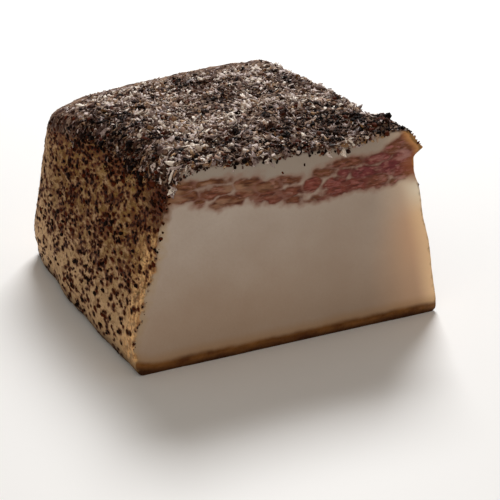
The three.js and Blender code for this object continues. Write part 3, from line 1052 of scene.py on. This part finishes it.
def on_crust(at, fade):
    """1 on top of the block, falling to 0 raggedly at so many millimetres down its sides"""
    x, y, z = at.T
    fade = fade * mix(1, 0.7, hill(x, 47, 9) * hill(y, 0, 16))
    spilt = 0.5 * fade * in_patches(y, z, SPILLS) * np.where(x < 0, 1, ease(25, 40, y))
    below = crust_top(x, y) - z + 0.45 * fade * crags(at, 5, 11) - spilt
    return ease(fade, 0.4 * fade, below) * (1 - 0.9 * bare(at))


def on_fringe(at):
    """1 where the crust overhangs the cut face and its left edge"""
    x, y, z = at.T
    left = at_left_edge(z)
    thick = mix(2.5, 1.3, ease(25, 35, x)) + 1.0 * crags(at, 4.5, 15) + 0.6 * crags(at, 1.7, 16)
    corner = 7 * hill(x, left, 3.5)
    return ease(0.4, -0.4, crust_top(x, y) - z - thick - corner)


def at_left_edge(z):
    return -half_width(np.full(z.shape, -1.0), np.zeros(z.shape), z)


def side_specks(at):
    """How densely specks lie on the cured sides: in clumps, more near the crust, fewer low down by the cut"""
    x, y, z = at.T
    clumps = np.clip(1 + 0.6 * crags(at, 12, 12) + 0.9 * crags(at, 3, 17), 0, None)
    placed = mix(0.68, 1.2, ease(8, 50, z)) * mix(1, 0.45, ease(85, 112, y)) * ease(0.5, 2, z)
    placed = placed * (1 + 0.8 * ease(34, 50, z) * ease(20, 8, y))
    near_cut = mix(1, 0.3, ease(0, 20, x) * ease(4, 1, y))
    near_cut = near_cut * mix(0.28 + 0.72 * ease(36, 48, z), 1, ease(2, 20, y))
    return SIDE_SPECK_DENSITY * clumps * placed * near_cut


def edge_specks(at):
    """How densely specks have strayed onto the cut face from its left edge"""
    x, y, z = at.T
    stray = x - at_left_edge(z)
    return EDGE_SPECK_DENSITY * ease(1.3, 0.1, stray + 1.5 * crags(at, 5, 18))


def choose_specks(shell, rng):
    """Places, directions and sizes of the pepper specks pressed into the cured sides"""
    side, side_normals = scatter([shell["outside"]], side_specks, rng)
    edge, edge_normals = scatter([shell["cut"]], edge_specks, rng)
    places = np.concatenate([side, edge, FALLEN_CRUMBS])
    normals = np.concatenate([side_normals, edge_normals, np.tile([0, -1, 0], (len(FALLEN_CRUMBS), 1))])
    sizes = sizes_of(len(places), rng, *SPECK_SIZES, flat=0.3, long=1.3, skew=1.7)
    on_edge = np.arange(len(places)) >= len(side)
    sizes = sizes * np.where(on_edge, EDGE_SPECK_SMALL, 1)[:, None]
    sizes[:, 0] *= np.where(on_edge, 1, SIDE_SPECK_LONG)
    return places, normals, sizes


def build_seasoning(shell, specks, rng):
    pepper, kernel, husk, salt = pepper_finish(), kernel_finish(), husk_finish(), salt_finish()
    chips, crumbs = cracked_chips(rng, kinds=32, knock=0.3, cuts=3), grit(rng, kinds=12)
    flakes, needles = husk_flakes(rng, kinds=24), herb_needles(rng, kinds=8)
    skin, cut = [shell["crust"], shell["outside"]], [shell["cut"]]

    def sow(name, kit, density, reach, finish, pale, fade=8, lean_over=0.9, lift=0.2, fringe=1, even=0.08,
            **shape):
        """Strews a kind of crumb over crust and fringe, density being how many to a square millimetre"""
        def over_skin(at):
            return density * np.clip(1 + 1.2 * pale * patches(at), 0.1, None) * on_crust(at, fade)

        def over_cut(at):
            return fringe * density * on_fringe(at)

        found = [scatter(skin, over_skin, rng), scatter(cut, over_cut, rng)]
        places, normals = (np.concatenate(part) for part in zip(*found))
        sizes = sizes_of(len(places), rng, *reach, **shape) * (1 - 0.45 * bare(places))[:, None]
        height = lift * rng.random(len(places)) * (1 - 0.6 * bare(places))
        strewn(name, places, normals, kit, sizes, lean_over, height, finish, rng, 0.6 * abs(pale), even=even)

    sow("pepper_grit", crumbs, 0.8, (0.2, 0.5), pepper, -0.4, fade=14, flat=1, lift=0.3, even=0.35)
    sow("black_pepper", chips, 0.17, (0.45, 1.25), pepper, -0.8, fade=11, flat=0.85, fringe=1.8)
    sow("coarse_pepper", chips, 0.012, (1.1, 1.6), pepper, -0.8, flat=0.9, long=1.2, lean_over=0.6)
    sow("pepper_kernels", chips, 0.11, (0.4, 1.05), kernel, 0.8, flat=0.7, long=1.9, fringe=1.4)
    sow("husk_flakes", flakes, 0.25, (0.5, 1.3), husk, 0.6, flat=1, long=2.1, skew=1.5, lean_over=0.5)
    sow("herb_needles", needles, 0.035, (0.9, 2.6), husk, 0.3, flat=0.9, long=1.6, lean_over=0.25, fringe=0.4)
    sow("salt_crystals", chips, 0.03, (0.3, 0.6), salt, 0.9, flat=1, long=1.2)

    at_x, at_y, radius = PEPPERCORN
    crust = shell["crust"].reshape(-1, 3)
    spot = crust[np.argmin(np.hypot(crust[:, 0] - at_x, crust[:, 1] - at_y))]
    corn, upright = cracked_chips(rng, kinds=1, knock=0.1, cuts=1), np.array([[0, 0, 1.0]])
    ball, lift = np.full((1, 3), radius), PEPPERCORN_LIFT * radius
    strewn("peppercorn", spot[None], upright, corn, ball, 0, lift, pepper, rng, pale=1)
    hang_corner_husks(flakes, husk, shell["outside"].reshape(-1, 3))
    places, normals, sizes = specks
    on_skin = np.zeros(len(places))
    strewn("side_specks", places, normals, chips, sizes, 0.12, on_skin, speck_finish(), rng, along=4)


def build_block():
    rng = np.random.default_rng(SEED)
    shell = build_shell()
    specks = choose_specks(shell, rng)
    places, _, sizes = specks
    halo = sizes[:, 1] + rng.uniform(*STAIN_REACH, len(places))
    sheets = {part: with_fields(grid, part == "cut", places, halo) for part, grid in shell.items()}
    finish = flesh_finish()
    under, upper, rim = np.cumsum([FAT_ROWS, LEAN_ROWS, UPPER_ROWS])
    fat = layer_piece("thick_fat", sheets, (0, under), finish, foot=True)
    lean = layer_piece("lean_layer", sheets, (under, upper), finish)
    top = layer_piece("crusted_fat", sheets, (upper, rim), finish, crust=True)
    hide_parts("back_fat")
    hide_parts("lean_streak")
    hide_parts("peppered_upper_fat")
    build_seasoning(shell, specks, rng)


# Stage

def to_row(point):
    return Vector(point) * MM + Vector((FOOT_MIDDLE, CUT_PLANE, 0))


def soft_light(name, place, size, power, colour):
    data = bpy.data.lights.new(name, "AREA")
    data.shape = "SQUARE"
    data.size = size * MM
    data.energy = power
    data.color = colour
    light = in_scene(name, data)
    light.location = to_row(place)
    light.rotation_euler = (to_row(LIGHTS_AIM) - light.location).to_track_quat("-Z", "Y").to_euler()


def build_stage():
    half = FLOOR_HALF_METRES
    corners = [(-half, -half, 0), (half, -half, 0), (half, half, 0), (-half, half, 0)]
    mesh = bpy.data.meshes.new("floor")
    mesh.from_pydata(corners, [], [(0, 1, 2, 3)])
    paint = Finish("pale floor", Base_Color=FLOOR_COLOUR, Roughness=FLOOR_ROUGHNESS)
    mesh.materials.append(paint.material)
    in_scene("floor", mesh)
    for light in LIGHTS:
        soft_light(*light)
    world = bpy.data.worlds.new("studio")
    bpy.context.scene.world = world
    world.use_nodes = True
    glow = world.node_tree.nodes["Background"]
    glow.inputs["Color"].default_value = GLOW_COLOUR
    glow.inputs["Strength"].default_value = GLOW_STRENGTH
    bpy.context.scene.view_settings.view_transform = "Standard"


def place_camera():
    azimuth, elevation = math.radians(VIEW_AZIMUTH), math.radians(VIEW_ELEVATION)
    level = math.cos(elevation)
    back = Vector((math.sin(azimuth) * level, -math.cos(azimuth) * level, math.sin(elevation)))
    data = bpy.data.cameras.new("camera")
    data.lens = LENS_MM
    data.sensor_width = SENSOR_MM
    camera = in_scene("camera", data)
    camera.location = to_row(Vector(VIEW_AIM) + back * VIEW_DISTANCE)
    camera.rotation_euler = (-back).to_track_quat("-Z", "Y").to_euler()
    bpy.context.scene.camera = camera


build_block()
build_stage()
place_camera()
